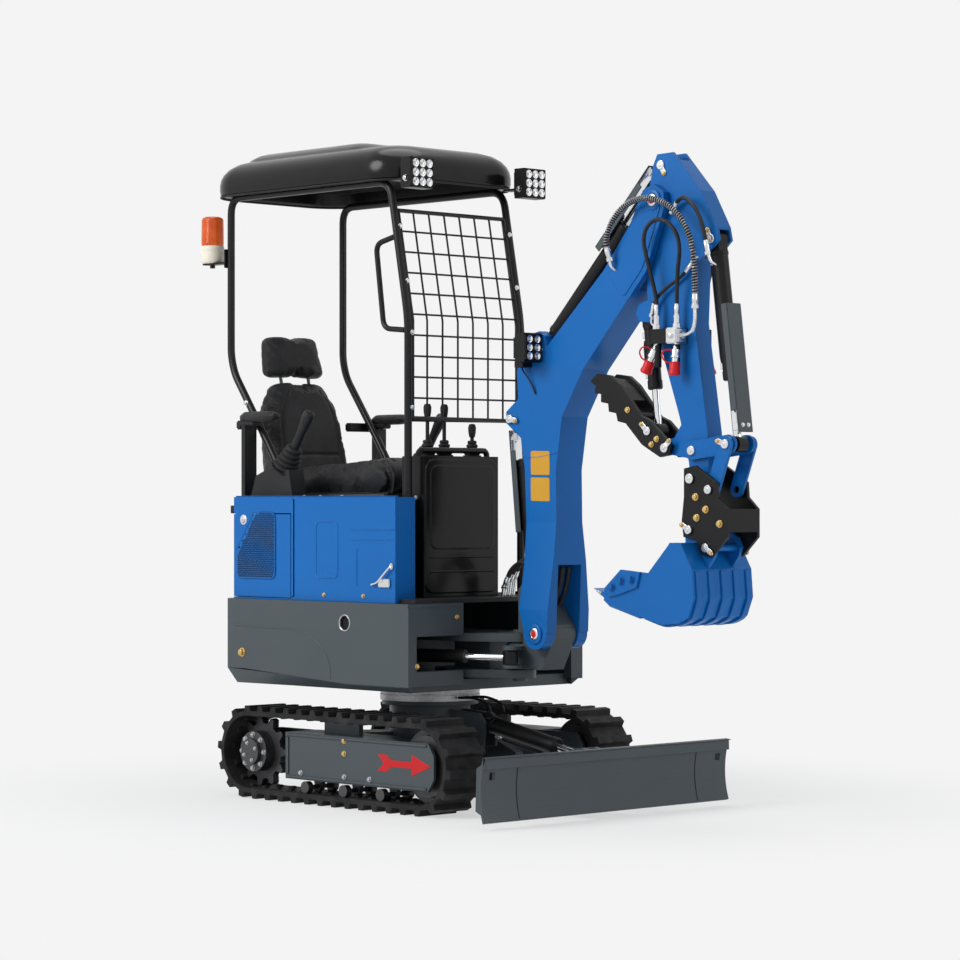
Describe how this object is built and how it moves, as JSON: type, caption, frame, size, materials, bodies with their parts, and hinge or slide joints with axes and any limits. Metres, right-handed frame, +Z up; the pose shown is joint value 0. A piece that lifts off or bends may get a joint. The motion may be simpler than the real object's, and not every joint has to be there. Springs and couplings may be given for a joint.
{
  "type": "mini excavator",
  "caption": "Compact tracked excavator with a canopy, swing boom, arm, hitch, bucket and thumb, and a dozer blade, all on working joints and cylinders.",
  "frame": {"origin": "on the ground below the slew axis", "axes": "+X forward, +Y to the machine's left, +Z up"},
  "size_m": [2.5201, 1.23, 2.44],
  "materials": {
    "grey_paint": "satin",
    "blue_paint": "gloss",
    "track_rubber": "matte",
    "black_paint": "satin",
    "bare_steel": "machined",
    "chrome_rod": "polished",
    "seat_vinyl": "grained",
    "black_plastic": "moulded",
    "lamp_body": "cast",
    "beacon_amber": "gloss"
  },
  "bodies": {
    "undercarriage": {"car_body": "grey_paint", "side_frames": "grey_paint", "track_right": "track_rubber", "track_left": "track_rubber", "end_wheels": "black_paint", "rollers": "black_paint", "slew_ring": "bare_steel"},
    "blade": {"blade": "grey_paint", "blade_wings": "grey_paint"},
    "blade_barrel": {"blade_barrel": "black_paint"},
    "blade_rod": {"blade_rod": "chrome_rod"},
    "upper": {"upper_frame": "grey_paint", "counterweight": "grey_paint", "bonnet": "blue_paint", "engine_block": "grey_paint", "floor_plate": "black_paint", "seat_base": "black_paint", "seat_cushion": "seat_vinyl", "seat_back": "seat_vinyl", "headrest": "seat_vinyl", "armrests": "black_plastic", "control_pods": "black_plastic", "joysticks": "black_plastic", "console": "black_paint", "travel_levers": "black_plastic", "canopy_roof": "black_plastic", "canopy_posts": "black_paint", "mesh_guard": "black_paint", "grab_handle": "black_paint", "work_lamps": "lamp_body", "beacon": "beacon_amber"},
    "engine_door": {"engine_door": "blue_paint"},
    "swing_post": {"swing_post": "grey_paint"},
    "swing_barrel": {"swing_barrel": "black_paint"},
    "swing_rod": {"swing_rod": "chrome_rod"},
    "boom": {"boom": "blue_paint", "boom_lamp": "lamp_body"},
    "boom_barrel": {"boom_barrel": "black_paint"},
    "boom_rod": {"boom_rod": "chrome_rod"},
    "arm_barrel": {"arm_barrel": "black_paint"},
    "arm_rod": {"arm_rod": "chrome_rod"},
    "arm": {"arm": "blue_paint", "hose_couplers": "black_paint"},
    "bucket_barrel": {"bucket_barrel": "black_paint"},
    "bucket_rod": {"bucket_rod": "chrome_rod"},
    "rocker": {"rocker_links": "blue_paint"},
    "coupling": {"coupling_links": "blue_paint"},
    "bucket": {"hitch": "black_paint", "bucket": "blue_paint"},
    "thumb": {"thumb": "black_paint"},
    "thumb_barrel": {"thumb_barrel": "black_paint"},
    "thumb_rod": {"thumb_rod": "chrome_rod"}
  },
  "joints": [
    {"name": "slew", "type": "hinge", "parent": "undercarriage", "child": "upper", "pos_m": [0, 0, 0.4], "axis": [0, 0, 1], "continuous": true},
    {"name": "blade_lift", "type": "hinge", "parent": "undercarriage", "child": "blade", "pos_m": [0.345, 0, 0.125], "axis": [0, -1, 0], "range_deg": [-14, 22]},
    {"name": "blade_barrel_pivot", "type": "hinge", "parent": "undercarriage", "child": "blade_barrel", "pos_m": [0.3, 0, 0.3], "axis": [0, -1, 0], "range_deg": [-13.25, 20.25]},
    {"name": "blade_rod_slide", "type": "slide", "parent": "blade_barrel", "child": "blade_rod", "axis": [0.9824, 0, -0.1867], "range_m": [-0.0666, 0.0431]},
    {"name": "engine_door_open", "type": "hinge", "parent": "upper", "child": "engine_door", "pos_m": [-0.7064, 0.278, 0.9], "axis": [0, 0, -1], "range_deg": [0, 75]},
    {"name": "boom_swing", "type": "hinge", "parent": "upper", "child": "swing_post", "pos_m": [0.475, 0, 0.55], "axis": [0, 0, 1], "range_deg": [-50, 50]},
    {"name": "swing_barrel_pivot", "type": "hinge", "parent": "upper", "child": "swing_barrel", "pos_m": [0.06, -0.3, 0.55], "axis": [0, 0, 1], "range_deg": [-3.13, 3.13]},
    {"name": "swing_rod_slide", "type": "slide", "parent": "swing_barrel", "child": "swing_rod", "axis": [0.9438, 0.3305, 0], "range_m": [-0.1209, 0.1209]},
    {"name": "boom_lift", "type": "hinge", "parent": "swing_post", "child": "boom", "pos_m": [0.655, 0, 0.636], "axis": [0, -1, 0], "range_deg": [-60, 9]},
    {"name": "boom_barrel_pivot", "type": "hinge", "parent": "swing_post", "child": "boom_barrel", "pos_m": [0.555, 0, 0.789], "axis": [0, -1, 0], "range_deg": [-70.45, 11.42]},
    {"name": "boom_rod_slide", "type": "slide", "parent": "boom_barrel", "child": "boom_rod", "axis": [-0.0995, 0, 0.995], "range_m": [-0.0243, 0.1508]},
    {"name": "arm_crowd", "type": "hinge", "parent": "boom", "child": "arm", "pos_m": [1.187, 0, 2.135], "axis": [0, 1, 0], "range_deg": [-80, 2]},
    {"name": "arm_barrel_pivot", "type": "hinge", "parent": "boom", "child": "arm_barrel", "pos_m": [0.635, 0, 1.672], "axis": [0, 1, 0], "range_deg": [-5.55, 1.11]},
    {"name": "arm_rod_slide", "type": "slide", "parent": "arm_barrel", "child": "arm_rod", "axis": [0.6934, 0, 0.7205], "range_m": [-0.1499, 0.0057]},
    {"name": "bucket_curl", "type": "hinge", "parent": "arm", "child": "bucket", "pos_m": [1.376, 0, 1.182], "axis": [0, 1, 0], "range_deg": [-62, 35]},
    {"name": "bucket_barrel_pivot", "type": "hinge", "parent": "arm", "child": "bucket_barrel", "pos_m": [1.428, 0, 1.99], "axis": [0, 1, 0], "range_deg": [-2.17, 3.07]},
    {"name": "bucket_rod_slide", "type": "slide", "parent": "bucket_barrel", "child": "bucket_rod", "axis": [0.1274, 0, -0.9919], "range_m": [-0.1119, 0.0641]},
    {"name": "rocker_pivot", "type": "hinge", "parent": "arm", "child": "rocker", "pos_m": [1.352, 0, 1.277], "axis": [0, 1, 0], "range_deg": [-40.75, 23.44]},
    {"name": "coupling_pivot", "type": "hinge", "parent": "rocker", "child": "coupling", "pos_m": [1.517, 0, 1.297], "axis": [0, 1, 0], "range_deg": [-13.68, 23.46]},
    {"name": "thumb_swing", "type": "hinge", "parent": "arm", "child": "thumb", "pos_m": [1.234, 0, 1.287], "axis": [0, 1, 0], "range_deg": [-80, 2]},
    {"name": "thumb_barrel_pivot", "type": "hinge", "parent": "arm", "child": "thumb_barrel", "pos_m": [1.112, 0, 1.752], "axis": [0, 1, 0], "range_deg": [-1.08, 4.22]},
    {"name": "thumb_rod_slide", "type": "slide", "parent": "thumb_barrel", "child": "thumb_rod", "axis": [0.1029, 0, -0.9947], "range_m": [-0.0052, 0.1305]}
  ],
  "couplings": [
    {"joint": "blade_barrel_pivot", "follows": "blade_lift", "ratio": 0.875},
    {"joint": "blade_rod_slide", "follows": "blade_lift", "m_per_rad": -0.1683},
    {"joint": "swing_barrel_pivot", "follows": "boom_swing", "ratio": 0.0426},
    {"joint": "swing_rod_slide", "follows": "boom_swing", "m_per_rad": 0.1362},
    {"joint": "boom_barrel_pivot", "follows": "boom_lift", "ratio": 1.1575},
    {"joint": "boom_rod_slide", "follows": "boom_lift", "m_per_rad": -0.1421},
    {"joint": "arm_barrel_pivot", "follows": "arm_crowd", "ratio": 0.0569},
    {"joint": "arm_rod_slide", "follows": "arm_crowd", "m_per_rad": 0.1059},
    {"joint": "bucket_barrel_pivot", "follows": "bucket_curl", "ratio": -0.0334},
    {"joint": "bucket_rod_slide", "follows": "bucket_curl", "m_per_rad": 0.1016},
    {"joint": "rocker_pivot", "follows": "bucket_curl", "ratio": 0.6411},
    {"joint": "coupling_pivot", "follows": "bucket_curl", "ratio": -0.3623},
    {"joint": "thumb_barrel_pivot", "follows": "thumb_swing", "ratio": -0.0402},
    {"joint": "thumb_rod_slide", "follows": "thumb_swing", "m_per_rad": -0.092}
  ]
}
